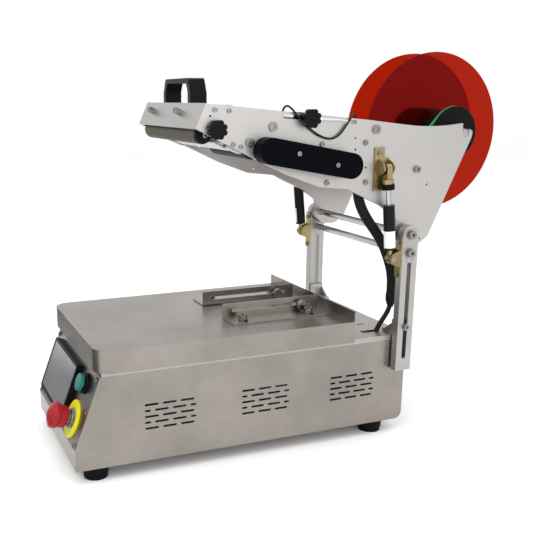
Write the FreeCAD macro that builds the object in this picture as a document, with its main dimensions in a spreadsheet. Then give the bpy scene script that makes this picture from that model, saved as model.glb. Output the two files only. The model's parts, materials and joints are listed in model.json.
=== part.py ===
import FreeCAD, Part
import math
import os
import re
from types import SimpleNamespace

# Table-top label applicator: a stainless base with a work platen, a height-adjustable mast
# and a sprung head that carries the label reel, the feed rollers and their drive.
# +X is the operator's right, +Y the rear, +Z up. Lengths are millimetres.

V = FreeCAD.Vector

SIZES = {
    # base enclosure
    "base_long": 558.0, "base_wide": 273.6, "base_high": 141.0, "sheet_thick": 1.5,
    "lip_high": 32.0, "slope_back": 41.7, "base_round": 12.0,
    "lid_thick": 8.4, "lid_start": 43.5,
    "foot_high": 23.0, "foot_rad": 21.0, "foot_tip": 18.0, "foot_inset": 26.8,
    # platen
    "platen_wide": 297.0, "platen_long": 419.0, "platen_start": 34.4, "skirt_high": 34.3,
    "platen_thick": 2.0, "platen_round": 25.0, "fence_high": 16.8,
    # product guides
    "guide_long": 171.0, "guide_foot": 46.0, "guide_high": 24.0, "guide_thick": 2.0,
    # control panel
    "bezel_wide": 162.0, "bezel_high": 88.0, "bezel_thick": 10.0, "panel_hole": 11.0,
    "ring_rad": 29.0, "mushroom_rad": 20.0, "stem_rad": 8.0, "stem_hole": 8.05,
    # mast
    "post_thick": 14.4, "post_wide": 28.6, "post_inner": 139.5, "post_bottom": 92.0,
    "pivot_high": 315.8, "tie_high": 286.8, "post_middle": 543.5, "rod_rad": 5.5,
    "slot_low": 112.0, "slot_top": 271.0, "slot_wide": 7.1,
    # head
    "plate_thick": 7.0, "plate_inner": 125.3, "pivot_hole": 5.55,
    "axle_rad": 6.0, "axle_hole": 6.05, "disc_rad": 127.0, "disc_thick": 3.0, "disc_gap": 57.0,
    "hub_rad": 37.5, "reel_pulley_rad": 41.0, "belt_track": 39.0, "brake_track": 12.0,
    "cord_rad": 2.5, "drive_rad": 16.0, "pinch_rad": 10.7, "idler_rad": 11.0, "roller_rad": 13.0,
    "toothed_big": 13.0, "toothed_small": 9.0, "toothed_wide": 10.0, "cover_rad": 19.0,
    "cover_deep": 25.5, "cover_wall": 2.0,
    # gas springs
    "tube_rad": 9.0, "tube_low": 15.0, "tube_top": 85.0, "gas_rod_rad": 4.0, "pin_rad": 3.0,
    "eye_rad": 7.0, "eye_wide": 8.0, "spring_middle": 146.7,
    # cables
    "sleeve_rad": 8.0, "lead_rad": 4.0, "wire_rad": 1.5,
}

doc = FreeCAD.newDocument("label_applicator")
sheet = doc.addObject("Spreadsheet::Sheet", "sizes")
for row, (alias, size) in enumerate(SIZES.items(), 1):
    sheet.set(f"A{row}", alias)
    sheet.set(f"B{row}", str(size))
    sheet.setAlias(f"B{row}", alias)
doc.recompute()


S = SimpleNamespace(**SIZES)

# The frame's origin is on the floor below the middle of the bounding box.
Y_MIDDLE = 374.2
SLOPE = math.degrees(math.atan2(S.slope_back, S.base_high - S.lip_high))
HALF_WIDE = S.base_wide / 2
TABLE_TOP = 182.2
LID_TOP = S.base_high + S.lid_thick

# Axes across the machine, as (Y, Z) from the base's front bottom edge
PIVOT = (S.post_middle, S.pivot_high)
TIE = (S.post_middle, S.tie_high)
AXLE = (650.0, 468.0)
BRAKE = (561.6, 414.7)
DRIVE = (298.5, 451.0)
PINCH = (274.0, 462.5)
MOTOR = (429.0, 426.0)
FRONT_BAR = (310.5, 484.0)
REAR_BAR = (484.0, 477.0)
ROLLER = (209.0, 474.0)
LOWER_PIN = (512.4, 278.7)
UPPER_PIN = (498.2, 419.2)

ALONG_X = FreeCAD.Rotation(V(0, 1, 0), 90)
ALONG_MINUS_X = FreeCAD.Rotation(V(0, 1, 0), -90)
ALONG_Y = FreeCAD.Rotation(V(1, 0, 0), -90)
ALONG_MINUS_Y = FreeCAD.Rotation(V(1, 0, 0), 90)
UPRIGHT = FreeCAD.Rotation()
ON_SLOPE = FreeCAD.Rotation(V(1, 0, 0), 90 - SLOPE)

nodes = []


def at(x, y, z):
    """A point given from the base's front bottom edge, in the part's frame."""
    return V(x, y - Y_MIDDLE, z + S.foot_high)


def on_slope(x, up, out=0.0):
    """A point on the sloping front panel: across, up the slope and out from it."""
    turn = math.radians(SLOPE)
    y = up * math.sin(turn) - out * math.cos(turn)
    z = S.lip_high + up * math.cos(turn) + out * math.sin(turn)
    return at(x, y, z)


def bind(obj, **rules):
    """Ties properties to rules written with the sheet's aliases."""
    for prop, rule in rules.items():
        words = re.sub(r"[a-z_]+", lambda w: "sizes." + w[0] if w[0] in SIZES else w[0], str(rule))
        obj.setExpression(prop, words)
    return obj


def node(obj, name, place=V(0, 0, 0), turn=UPRIGHT):
    """Names a finished sub-part, places it and puts it on the list of parts to write."""
    obj.Label = name
    obj.Placement = FreeCAD.Placement(place, turn)
    nodes.append(obj)
    return obj


# ---------------------------------------------------------------- solids from primitives


def block(wide, deep, high, corner=(0, 0, 0)):
    box = bind(doc.addObject("Part::Box", "block"), Length=wide, Width=deep, Height=high)
    box.Placement.Base = V(*corner)
    return box


def rod(radius, length, foot=(0, 0, 0), turn=UPRIGHT):
    bar = bind(doc.addObject("Part::Cylinder", "rod"), Radius=radius, Height=length)
    bar.Placement = FreeCAD.Placement(V(*foot), turn)
    return bar


def hexagon(radius, length, foot=(0, 0, 0), turn=UPRIGHT):
    bar = bind(doc.addObject("Part::Prism", "hexagon"), Circumradius=radius, Height=length)
    bar.Polygon = 6
    bar.Placement = FreeCAD.Placement(V(*foot), turn)
    return bar


def fuse(*shapes):
    whole = doc.addObject("Part::MultiFuse", "fuse")
    whole.Shapes = list(shapes)
    return whole


def cut(base, *tools):
    rest = doc.addObject("Part::Cut", "cut")
    rest.Base = base
    rest.Tool = tools[0] if len(tools) == 1 else fuse(*tools)
    return rest


def group(*shapes):
    """Several separate solids that share one node."""
    whole = doc.addObject("Part::Compound", "group")
    whole.Links = list(shapes)
    return whole


def screw(head, high, shank, deep, place, turn, washer=0.0):
    """A socket-head screw: its head stands out along the turned Z from place, its shank goes in."""
    solid = fuse(rod(head, high), rod(shank, deep, (0, 0, -deep)))
    if washer:
        solid = fuse(solid, rod(washer, 1))
    solid = cut(solid, hexagon(head * 0.5, high, (0, 0, high * 0.45)))
    solid.Placement = FreeCAD.Placement(place, turn)
    return solid


# ---------------------------------------------------------------- solids from sketches


def new_body(name):
    return doc.addObject("PartDesign::Body", name)


def sketch(body, role, curves, offset=None):
    """A sketch of the curves on one of the body's origin planes."""
    flat = next(f for f in body.Origin.OriginFeatures if f.Role == role)
    drawing = body.newObject("Sketcher::SketchObject", body.Name + "_sketch")
    drawing.AttachmentSupport = (flat, [""])
    drawing.MapMode = "FlatFace"
    if offset:
        drawing.AttachmentOffset = offset
    drawing.addGeometry(curves, False)
    return drawing


def outline(*corners):
    """A closed outline of straight sides; a corner's third number rounds it."""
    points = [V(c[0], c[1], 0) for c in corners]
    curves, last, first = [], None, None
    for i, corner in enumerate(corners):
        here, before, after = points[i], points[i - 1], points[(i + 1) % len(points)]
        radius = corner[2] if len(corner) > 2 else 0
        if radius:
            back = (before - here).normalize()
            ahead = (after - here).normalize()
            half = back.getAngle(ahead) / 2
            start = here + back * (radius / math.tan(half))
            end = here + ahead * (radius / math.tan(half))
            middle = (back + ahead).normalize()
            top = here + middle * (radius / math.sin(half) - radius)
        else:
            start = end = here
        if last is not None and (start - last).Length > 1e-6:
            curves.append(Part.LineSegment(last, start))
        if radius:
            curves.append(Part.Arc(start, top, end))
        if first is None:
            first = start
        last = end
    if (first - last).Length > 1e-6:
        curves.append(Part.LineSegment(last, first))
    return curves


def rectangle(wide, high, middle=(0, 0), radius=0):
    x, y, w, h = middle[0], middle[1], wide / 2, high / 2
    return outline((x - w, y - h, radius), (x + w, y - h, radius),
                   (x + w, y + h, radius), (x - w, y + h, radius))


def circles(radius, *middles):
    return [Part.Circle(V(x, y, 0), V(0, 0, 1), radius) for x, y in middles]


def slot(middle, length, wide, upright=False):
    """A round-ended slot, along the sketch's X unless it is upright."""
    r, run = wide / 2, length / 2 - wide / 2
    x, y = middle
    if upright:
        return [
            Part.LineSegment(V(x - r, y - run, 0), V(x - r, y + run, 0)),
            Part.Arc(V(x - r, y + run, 0), V(x, y + run + r, 0), V(x + r, y + run, 0)),
            Part.LineSegment(V(x + r, y + run, 0), V(x + r, y - run, 0)),
            Part.Arc(V(x + r, y - run, 0), V(x, y - run - r, 0), V(x - r, y - run, 0)),
        ]
    return [
        Part.LineSegment(V(x - run, y + r, 0), V(x + run, y + r, 0)),
        Part.Arc(V(x + run, y + r, 0), V(x + run + r, y, 0), V(x + run, y - r, 0)),
        Part.LineSegment(V(x + run, y - r, 0), V(x - run, y - r, 0)),
        Part.Arc(V(x - run, y - r, 0), V(x - run - r, y, 0), V(x - run, y + r, 0)),
    ]


def loop(small, small_rad, big, big_rad):
    """The outline of a belt round two pulleys, given by their centres and radii."""
    a, b = V(small[0], small[1], 0), V(big[0], big[1], 0)
    run = b - a
    along = math.atan2(run.y, run.x)
    lean = math.acos((small_rad - big_rad) / run.Length)

    def spot(centre, radius, angle):
        return centre + V(math.cos(angle), math.sin(angle), 0) * radius

    up, down = along + lean, along - lean
    return [
        Part.LineSegment(spot(a, small_rad, up), spot(b, big_rad, up)),
        Part.Arc(spot(b, big_rad, up), spot(b, big_rad, along), spot(b, big_rad, down)),
        Part.LineSegment(spot(b, big_rad, down), spot(a, small_rad, down)),
        Part.Arc(spot(a, small_rad, down), spot(a, small_rad, along + math.pi), spot(a, small_rad, up)),
    ]


def pad(body, drawing, length, both_ways=False, back=False):
    feature = body.newObject("PartDesign::Pad", body.Name + "_pad")
    feature.Profile = drawing
    feature.Midplane = both_ways
    feature.Reversed = back
    bind(feature, Length=length)
    return feature


def pocket(body, drawing, length, both_ways=False, back=False):
    """A pocket that must take material away."""
    doc.recompute()
    before = body.Shape.Volume
    feature = body.newObject("PartDesign::Pocket", body.Name + "_pocket")
    feature.Profile = drawing
    feature.Midplane = both_ways
    feature.Reversed = back
    bind(feature, Length=length)
    doc.recompute()
    if body.Shape.Volume > before - 0.01:
        raise RuntimeError(f"{body.Name}: a pocket cuts nothing")
    return feature


def slab(name, role, curves, thick, both_ways=False, holes=None):
    """A flat piece cut from plate: an outline padded to its thickness, with through holes."""
    body = new_body(name)
    pad(body, sketch(body, role, curves), thick, both_ways)
    if holes:
        pocket(body, sketch(body, role, holes), f"({thick}) * 2 + 2", both_ways=True)
    return body


def turned(name, *profile):
    """A turned piece: (radius, height) corners round the Z axis."""
    body = new_body(name)
    drawing = sketch(body, "XZ_Plane", outline(*profile))
    feature = body.newObject("PartDesign::Revolution", name + "_turning")
    feature.Profile = drawing
    feature.ReferenceAxis = (drawing, ["V_Axis"])
    feature.Angle = 360
    return body


# ---------------------------------------------------------------- base


def vent_slots():
    """Three louvre panels of five staggered rows, on both side walls."""
    pitch, high, length, short, gap = 9.3, 3.2, 21.5, 9.0, 6.7
    curves = []
    for start in (107.0, 264.0, 419.0):
        for line in range(5):
            runs = (length,) * 3 if line % 2 == 0 else (short, length, length, short)
            y = start
            for run in runs:
                curves += slot((y + run / 2, 51.5 + line * pitch), run, high)
                y += run + gap
    return curves


def base_shell():
    """The sheet bent from the rear corner along the floor to the front lip and the sloping panel."""
    body = new_body("base_shell")
    wall, top, rear = S.sheet_thick, S.base_high, S.base_long
    lean = wall / math.cos(math.radians(SLOPE))
    bend = S.lip_high + (wall - lean) * (top - S.lip_high) / S.slope_back
    pad(body, sketch(body, "YZ_Plane", outline(
        (0, 0), (rear, 0, S.base_round), (rear, REAR_SEAM), (rear - wall, REAR_SEAM),
        (rear - wall, wall, S.base_round - wall), (wall, wall), (wall, bend),
        (S.slope_back + lean, top), (S.slope_back, top), (0, S.lip_high))),
        "base_wide - 2 * sheet_thick", both_ways=True)
    tilt = FreeCAD.Placement(V(0, S.lip_high, 0), FreeCAD.Rotation(V(1, 0, 0), -SLOPE))
    panel = circles(S.panel_hole, ESTOP, START) + circles(2.2, *PANEL_SCREWS)
    panel += rectangle(120, 64, SCREEN)
    pocket(body, sketch(body, "XZ_Plane", panel, tilt), "sheet_thick * 4", both_ways=True)
    node(body, "base_shell", at(0, 0, 0))


def side_panels():
    """The two louvred side walls."""
    made = []
    for start in (-HALF_WIDE, HALF_WIDE - S.sheet_thick):
        wall = slab("side_panel", "YZ_Plane", outline(
            (0, 0), (0, S.lip_high), (S.slope_back, S.base_high), (S.base_long, S.base_high),
            (S.base_long, 0, S.base_round)), "sheet_thick", holes=vent_slots())
        wall.Placement.Base = at(start, 0, 0)
        made.append(wall)
    node(group(*made), "side_panels")


def rear_panel():
    """The rear wall with the mains inlet's cut-out."""
    wide, wall = S.base_wide - 2 * S.sheet_thick, S.sheet_thick
    middle = (0, (REAR_SEAM + S.base_high) / 2)
    curves = rectangle(wide, S.base_high - REAR_SEAM, middle)
    panel = slab("rear_panel", "XZ_Plane", curves, "sheet_thick", holes=rectangle(28, 48, INLET))
    node(panel, "rear_panel", at(0, S.base_long, 0))


REAR_SEAM = 14.0
ESTOP = (82.0, 31.5)
START = (88.0, 90.5)
SCREEN = (-29.0, 62.0)
INLET = (-60.0, 60.0)
PANEL_SCREWS = [(side * 127, up) for side in (-1, 1) for up in (6.0, 59.0, 109.0)]


def lid():
    """The aluminium plate that closes the base, with its two cable slots."""
    middle = (S.lid_start + S.base_long) / 2
    curves = rectangle(S.base_wide, S.base_long - S.lid_start, (0, middle), 1.5)
    holes = slot((106, 509), 34, 12, upright=True) + slot((64, 516), 14, 4, upright=True)
    plate = slab("top_plate", "XY_Plane", curves, "lid_thick", holes=holes)
    node(plate, "top_plate", at(0, 0, S.base_high))


def platen():
    """The folded stainless table, its inner ribs and its rear fence."""
    body = new_body("platen")
    wide, long, wall = S.platen_wide / 2, S.platen_long, S.platen_thick
    bend = S.platen_round
    pad(body, sketch(body, "XY_Plane", outline(
        (-wide, 0, bend), (wide, 0, bend), (wide, long, 2), (-wide, long, 2))), "skirt_high")
    inner = wide - wall
    pocket(body, sketch(body, "XY_Plane", outline(
        (-inner, wall, bend - wall), (inner, wall, bend - wall), (inner, long + 1), (-inner, long + 1))),
        "skirt_high - platen_thick", back=True)
    ribs = []
    for x in (-100, 0, 100):
        ribs += rectangle(4, long - 60, (x, long / 2))
    lift = LID_TOP - (TABLE_TOP - S.skirt_high)
    pad(body, sketch(body, "XY_Plane", ribs, FreeCAD.Placement(V(0, 0, lift), UPRIGHT)),
        f"skirt_high - {lift} - platen_thick / 2")
    fence = rectangle(S.platen_wide, wall, (0, long - wall / 2))
    pad(body, sketch(body, "XY_Plane", fence, FreeCAD.Placement(V(0, 0, lift), UPRIGHT)),
        f"skirt_high + fence_high - {lift}")
    holes = circles(2.6, *[(x, y - S.platen_start) for x, y in GUIDE_SCREWS])
    pocket(body, sketch(body, "XY_Plane", holes), "skirt_high * 3", both_ways=True)
    node(body, "platen", at(0, S.platen_start, TABLE_TOP - S.skirt_high))


def feet():
    """Four tapered rubber feet with rounded edges."""
    made = []
    for x in (-1, 1):
        for y in (36.0, 514.0):
            cone = doc.addObject("Part::Cone", "foot")
            bind(cone, Radius1="foot_tip", Radius2="foot_rad", Height="foot_high")
            cone.Placement.Base = at(x * (HALF_WIDE - S.foot_inset), y, -S.foot_high)
            made.append(cone)
    node(group(*made), "rubber_feet")


# ---------------------------------------------------------------- product guides

GUIDE_FRONT = 267.0
GUIDE_EDGE = {"near": 50.0, "far": -35.0}
SCREW_SPOTS = (292.0, 409.0)
GUIDE_SCREWS = [(x, y) for x in (50 + 25, -35 - 25) for y in SCREW_SPOTS]
GUIDE_LIFT = 0.1
KNOB_SPOT = (404.0, TABLE_TOP + 12.0)


def guide(name, side):
    """An angle whose flange faces the product and whose foot has two cross slots."""
    body = new_body(name)
    thick, foot = S.guide_thick, S.guide_foot
    pad(body, sketch(body, "XZ_Plane", outline(
        (0, 0, thick), (side * foot, 0), (side * foot, thick), (side * thick, thick),
        (side * thick, S.guide_high), (0, S.guide_high))), "guide_long", back=True)
    slots = []
    for y in SCREW_SPOTS:
        slots += slot((side * 25, y - GUIDE_FRONT), 34, 6)
    pocket(body, sketch(body, "XY_Plane", slots), "guide_thick * 3", both_ways=True)
    track = slot((S.guide_long / 2, 12), 140, 5)
    pocket(body, sketch(body, "YZ_Plane", track), "guide_thick * 3", both_ways=True)
    edge = GUIDE_EDGE["near" if side > 0 else "far"]
    node(body, name, at(edge, GUIDE_FRONT, TABLE_TOP + GUIDE_LIFT))


def guide_screws():
    """Screws that clamp the guides' feet to the platen."""
    top = TABLE_TOP + GUIDE_LIFT + S.guide_thick + 0.3
    return [screw(7, 8, 2.5, 8, at(x, y, top), UPRIGHT, washer=8) for x, y in GUIDE_SCREWS]


def rail_knobs():
    """A knurled knob with a shank through each flange slot."""
    for name, edge, thick in (("near_rail_knob", 50, S.guide_thick), ("far_rail_knob", -35, 0)):
        body = turned(name, (0, -5), (2.3, -5), (2.3, 0.3), (5, 0.3), (5, 3), (8, 4),
                      (8, 12, 1), (0, 12))
        node(body, name, at(edge + thick, *KNOB_SPOT), ALONG_X)


# ---------------------------------------------------------------- control panel


def controls():
    bezel = new_body("touch_screen")
    pad(bezel, sketch(bezel, "XY_Plane", rectangle(S.bezel_wide, S.bezel_high, radius=5)), "bezel_thick")
    pad(bezel, sketch(bezel, "XY_Plane", rectangle(116, 60)), "20", back=True)
    recess = FreeCAD.Placement(V(0, 0, S.bezel_thick), UPRIGHT)
    pocket(bezel, sketch(bezel, "XY_Plane", rectangle(151, 78, radius=3), recess), "1.5")
    node(bezel, "touch_screen", on_slope(*SCREEN), ON_SLOPE)
    glass = slab("screen_glass", "XY_Plane", rectangle(150.6, 77.6, radius=2.8), "1")
    node(glass, "screen_glass", on_slope(*SCREEN, S.bezel_thick - 1.5), ON_SLOPE)

    barrel, bore, ring = S.panel_hole - 0.2, S.stem_hole, S.ring_rad
    collar = turned("estop_collar", (bore, -20), (barrel, -20), (barrel, 0), (ring, 0), (ring, 2.5, 0.8),
                    (17, 2.5), (15, 4), (15, 7, 1), (bore, 7))
    node(collar, "estop_collar", on_slope(*ESTOP), ON_SLOPE)
    cap = S.mushroom_rad
    head = turned("estop_button", (0, -15), (S.stem_rad, -15), (S.stem_rad, 11.5), (14, 11.5), (17, 13.5, 2),
                  (17.4, 24), (cap, 26.5, 2), (cap, 34, 4), (8, 39.7, 8), (0, 40))
    node(head, "estop_button", on_slope(*ESTOP), ON_SLOPE)

    collar = turned("start_collar", (bore, -18), (barrel, -18), (barrel, 0), (16, 0), (16, 5, 1.5),
                    (bore, 5))
    node(collar, "start_collar", on_slope(*START), ON_SLOPE)
    key = turned("start_button", (0, -14), (S.stem_rad, -14), (S.stem_rad, 8), (13, 8), (13, 14, 1.5),
                 (0, 14.6))
    node(key, "start_button", on_slope(*START), ON_SLOPE)


def rear_inlet():
    """The mains socket with its rocker, let into the rear wall."""
    body = new_body("power_inlet")
    pad(body, sketch(body, "XZ_Plane", rectangle(32, 52, radius=3)), "2", back=True)
    pad(body, sketch(body, "XZ_Plane", rectangle(26, 46)), "28")
    lift = FreeCAD.Placement(V(0, 0, -2), UPRIGHT)
    pocket(body, sketch(body, "XZ_Plane", rectangle(24, 16, (0, -11), 3), lift), "16", back=True)
    pocket(body, sketch(body, "XZ_Plane", rectangle(16, 19, (0, 11.5)), lift), "13", back=True)
    node(body, "power_inlet", at(INLET[0], S.base_long, INLET[1]))
    half = 8.6
    curves = [
        Part.Arc(V(0, half, 0), V(-half, 0, 0), V(0, -half, 0)),
        Part.LineSegment(V(0, -half, 0), V(1.2, -half * 0.9, 0)),
        Part.LineSegment(V(1.2, -half * 0.9, 0), V(0.6, 0, 0)),
        Part.LineSegment(V(0.6, 0, 0), V(3.2, half * 0.85, 0)),
        Part.LineSegment(V(3.2, half * 0.85, 0), V(0, half, 0)),
    ]
    rocker = new_body("rocker_switch")
    pad(rocker, sketch(rocker, "YZ_Plane", curves), "14.8", both_ways=True)
    node(rocker, "rocker_switch", at(INLET[0], S.base_long + 1, INLET[1] + 11.5))


def inner_modules():
    """The controller and the power supply, side by side on the base's floor."""
    rail = block(60, 84, 6, (0, -4, 0))
    case = block(60, 76, 52, (0, 0, 6))
    steps = [block(60, 9, 10, (0, y, 48)) for y in (0, 67)]
    controller = cut(fuse(rail, case), *steps)
    controller.Placement.Base = at(-95, 190, S.sheet_thick)
    supply = cut(block(98, 150, 38), block(92, 10, 14, (3, 0, 24)))
    supply.Placement.Base = at(10, 330, S.sheet_thick)
    node(group(controller, supply), "inner_modules")


def post_brackets():
    """Cast angles with two gussets that tie the posts to the lid."""
    made = []
    for side in (-1, 1):
        body = new_body("bracket")
        face, thick = S.post_inner - 0.3, 5.0
        inner, low, top = 108.0, 0.0, 26.0
        wall = face - thick
        profile = outline((side * inner, low), (side * face, low), (side * face, top), (side * wall, top),
                          (side * wall, thick), (side * inner, thick))
        pad(body, sketch(body, "XZ_Plane", profile), "25", both_ways=True)
        for y in (-11.0, 11.0):
            gusset = outline((side * (inner + 3), thick / 2), (side * (face - 1), thick / 2),
                             (side * (face - 1), top - 3))
            shift = FreeCAD.Placement(V(0, 0, y), UPRIGHT)
            pad(body, sketch(body, "XZ_Plane", gusset, shift), "3", both_ways=True)
        bore = circles(3.1, (0, CLAMP_HIGH - LID_TOP))
        pocket(body, sketch(body, "YZ_Plane", bore), "400", both_ways=True)
        body.Placement.Base = at(0, S.post_middle, LID_TOP)
        made.append(body)
    node(group(*made), "post_brackets")


CLAMP_HIGH = 165.7


def base_screws():
    """Panel screws, the guides' screws and the clamp screws that run in the posts' slots."""
    made = [screw(4, 2.6, 2, 5, on_slope(x, up), ON_SLOPE) for x, up in PANEL_SCREWS]
    made += guide_screws()
    for side, turn in ((1, ALONG_X), (-1, ALONG_MINUS_X)):
        face = S.post_inner + S.post_thick + 0.3
        made.append(screw(4.6, 5, 3, 19, at(side * face, S.post_middle, CLAMP_HIGH), turn, washer=6))
    node(group(*made), "base_screws")


# ---------------------------------------------------------------- mast


def posts():
    """Slotted uprights with round tops."""
    for name, side in (("post_near", 1), ("post_far", -1)):
        wide = S.post_wide / 2
        top, low = S.pivot_high, S.post_bottom
        y = S.post_middle
        curves = [
            Part.LineSegment(V(y - wide, low, 0), V(y + wide, low, 0)),
            Part.LineSegment(V(y + wide, low, 0), V(y + wide, top, 0)),
            Part.Arc(V(y + wide, top, 0), V(y, top + wide, 0), V(y - wide, top, 0)),
            Part.LineSegment(V(y - wide, top, 0), V(y - wide, low, 0)),
        ]
        body = new_body(name)
        pad(body, sketch(body, "YZ_Plane", curves), "post_thick")
        holes = circles(4.1, PIVOT, TIE)
        middle = (y, (S.slot_low + S.slot_top) / 2)
        holes += slot(middle, S.slot_top - S.slot_low, S.slot_wide, upright=True)
        pocket(body, sketch(body, "YZ_Plane", holes), "post_thick * 3", both_ways=True)
        face = S.post_inner if side > 0 else -S.post_inner - S.post_thick
        node(body, name, at(face, 0, 0))


def cross_rods():
    """The hinge rod and the tie rod between the posts, and the spacers beside the head."""
    made = []
    for y, z in (PIVOT, TIE):
        bar = rod("rod_rad", "2 * post_inner", (-S.post_inner, 0, 0), ALONG_X)
        ends = [rod(4.05, 16, (side * (S.post_inner - 8) - 8, 0, 0), ALONG_X) for side in (-1, 1)]
        whole = cut(bar, *ends)
        whole.Placement.Base = at(0, y, z)
        made.append(whole)
    length = S.post_inner - S.plate_inner - S.plate_thick - 0.4
    for start in (S.post_inner - length - 0.05, -S.post_inner + 0.05):
        ring = cut(rod(9, length, (0, 0, 0), ALONG_X), rod(S.rod_rad + 0.1, length, (0, 0, 0), ALONG_X))
        ring.Placement.Base = at(start, *PIVOT)
        made.append(ring)
    node(group(*made), "cross_rods")


def post_bolts():
    """Dome bolts in the rods' ends, and the small screws of the spring brackets."""
    made = []
    for side, turn in ((1, ALONG_X), (-1, ALONG_MINUS_X)):
        for spot in (PIVOT, TIE):
            face = side * (S.post_inner + S.post_thick)
            made.append(screw(6.5, 6.5, 4, S.post_thick + 12, at(face, *spot), turn, washer=8))
        for high in (254.0, 305.5):
            front = S.post_middle - S.post_wide / 2 - 3
            made.append(screw(3.6, 2.6, 1.5, 2.5, at(side * S.spring_middle, front, high), ALONG_MINUS_Y))
    node(group(*made), "post_bolts")


def ears(turn, wide, thick, tip, spread, back):
    """Two tapered ears about a pin at the origin, for a bracket whose back lies along +Y.

    The turn swings them round the Z axis; wide is measured over both ears, along the pin.
    """
    made = []
    swing = FreeCAD.Rotation(V(0, 0, 1), turn)
    for x in (-wide / 2, wide / 2 - thick):
        ear = slab("ear", "YZ_Plane", outline(
            (back, -spread), (back, spread), (-1, tip, 6), (-tip, 0, 6), (-1, -tip, 6)), str(thick))
        ear.Placement = FreeCAD.Placement(swing.multVec(V(x, 0, 0)), swing)
        made.append(ear)
    return made


def lower_spring_brackets():
    """Folded brackets on the posts' front faces, each with its headed pin."""
    made = []
    back = S.post_middle - S.post_wide / 2 - LOWER_PIN[0]
    half = S.post_thick / 2
    for side in (-1, 1):
        plate = block("post_thick", 3, 66, (-half, back - 3, -31))
        holes = [rod(1.6, 3, (0, back, z - LOWER_PIN[1]), ALONG_MINUS_Y) for z in (254.0, 305.5)]
        pin = rod("pin_rad", S.post_thick + 3, (-half - 1.5, 0, 0), ALONG_X)
        heads = [rod(4.2, 1.5, (x, 0, 0), ALONG_X) for x in (-half - 1.5, half)]
        whole = fuse(cut(plate, *holes), pin, *heads, *ears(0, S.post_thick, 2.5, 8, 14, back - 2))
        whole.Placement.Base = at(side * S.spring_middle, *LOWER_PIN)
        made.append(whole)
    node(group(*made), "lower_spring_brackets")


def gas_springs():
    """A tube on the lower pin and a rod that reaches the head's pin, on each side."""
    run = (UPPER_PIN[0] - LOWER_PIN[0], UPPER_PIN[1] - LOWER_PIN[1])
    length = math.hypot(*run)
    lean = FreeCAD.Rotation(V(1, 0, 0), math.degrees(math.atan2(-run[0], run[1])))
    for name, side in (("near", 1), ("far", -1)):
        foot = at(side * S.spring_middle, *LOWER_PIN)
        half = S.eye_wide / 2
        eye = rod("eye_rad", "eye_wide", (-half, 0, 0), ALONG_X)
        neck = rod(3.9, "tube_low - 4", (0, 0, 4))
        barrel = rod("tube_rad", "tube_top - tube_low", (0, 0, S.tube_low))
        bore = rod("tube_rad - 1.5", "tube_top - tube_low - 7", (0, 0, S.tube_low + 3))
        guide_bore = rod("gas_rod_rad + 0.05", 10, (0, 0, S.tube_top - 6))
        hole = rod("pin_rad + 0.05", "eye_wide", (-half, 0, 0), ALONG_X)
        tube = cut(fuse(eye, neck, barrel), bore, guide_bore, hole)
        node(tube, f"gas_tube_{name}", foot, lean)

        piston = rod("tube_rad - 1.8", 5, (0, 0, 50))
        shaft = rod("gas_rod_rad", "62", (0, 0, 50))
        collar = rod(9.7, "9", (0, 0, 109))
        socket = rod(8.5, "7", (0, 0, 118))
        shank = block(12, 9, length - 124, (-6, -4.5, 124))
        eye = rod("eye_rad", "9", (0, -4.5, length), ALONG_Y)
        hole = rod("pin_rad + 1.2", 20, (0, -10, length), ALONG_Y)
        rod_end = cut(fuse(piston, shaft, collar, socket, shank, eye), hole)
        node(rod_end, f"gas_rod_{name}", foot, lean)


YOKE_WIDE = 19.6
BRACKET_MIDDLE = -7.2
BRACKET_SCREWS_UP = (22.0, -26.0)


def upper_spring_brackets():
    """Folded brackets on the head's side plates, each with a headed pin for the gas spring's eye."""
    made = []
    reach = S.spring_middle - S.plate_inner - S.plate_thick
    half = YOKE_WIDE / 2
    for side in (-1, 1):
        foot = min(side * -reach, side * (2.5 - reach))
        narrow = block(2.5, 17.2, 66, (foot, BRACKET_MIDDLE - 8.6, -35))
        wide = block(2.5, YOKE_WIDE, 32, (foot, -half, -16))
        holes = [rod(2.2, 10, (foot - 3, BRACKET_MIDDLE, z), ALONG_X) for z in BRACKET_SCREWS_UP]
        pin = rod("pin_rad", YOKE_WIDE + 3, (0, -half - 1.5, 0), ALONG_Y)
        heads = [rod(4.2, 1.5, (0, y, 0), ALONG_Y) for y in (-half - 1.5, half)]
        yoke = ears(side * 90, YOKE_WIDE, 2.5, 8, 14, reach - 1)
        whole = fuse(cut(fuse(narrow, wide), *holes), pin, *heads, *yoke)
        whole.Placement.Base = at(side * S.spring_middle, *UPPER_PIN)
        made.append(whole)
    node(group(*made), "upper_spring_brackets")


# ---------------------------------------------------------------- head frame

CLAMP_TRACK = (388.0, 493.0)
TRACK_LONG = 124.0
TRACK_TURN = -4.8
SENSOR_SPOT = (366.2, 494.83)
FRONT_KNOB = (221.5, 481.5)
COVER_SCREWS = ((340.0, 446.7), (404.0, 428.3))
BIG_SCREWS = (FRONT_BAR, PINCH, REAR_BAR)
SMALL_SCREWS = ((220.3, 508.5), (242.2, 507.0), (248.6, 460.6), (260.3, 457.0))
MOTOR_SCREWS = ((466.4, 457.8), (469.4, 398.7), (391.7, 457.4), (401.8, 400.5))
TAPPED_HOLES = (
    (213.1, 500.3), (448.0, 464.7), (448.7, 447.9), (468.5, 420.5), (582.1, 390.0), (575.1, 304.5))


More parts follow.
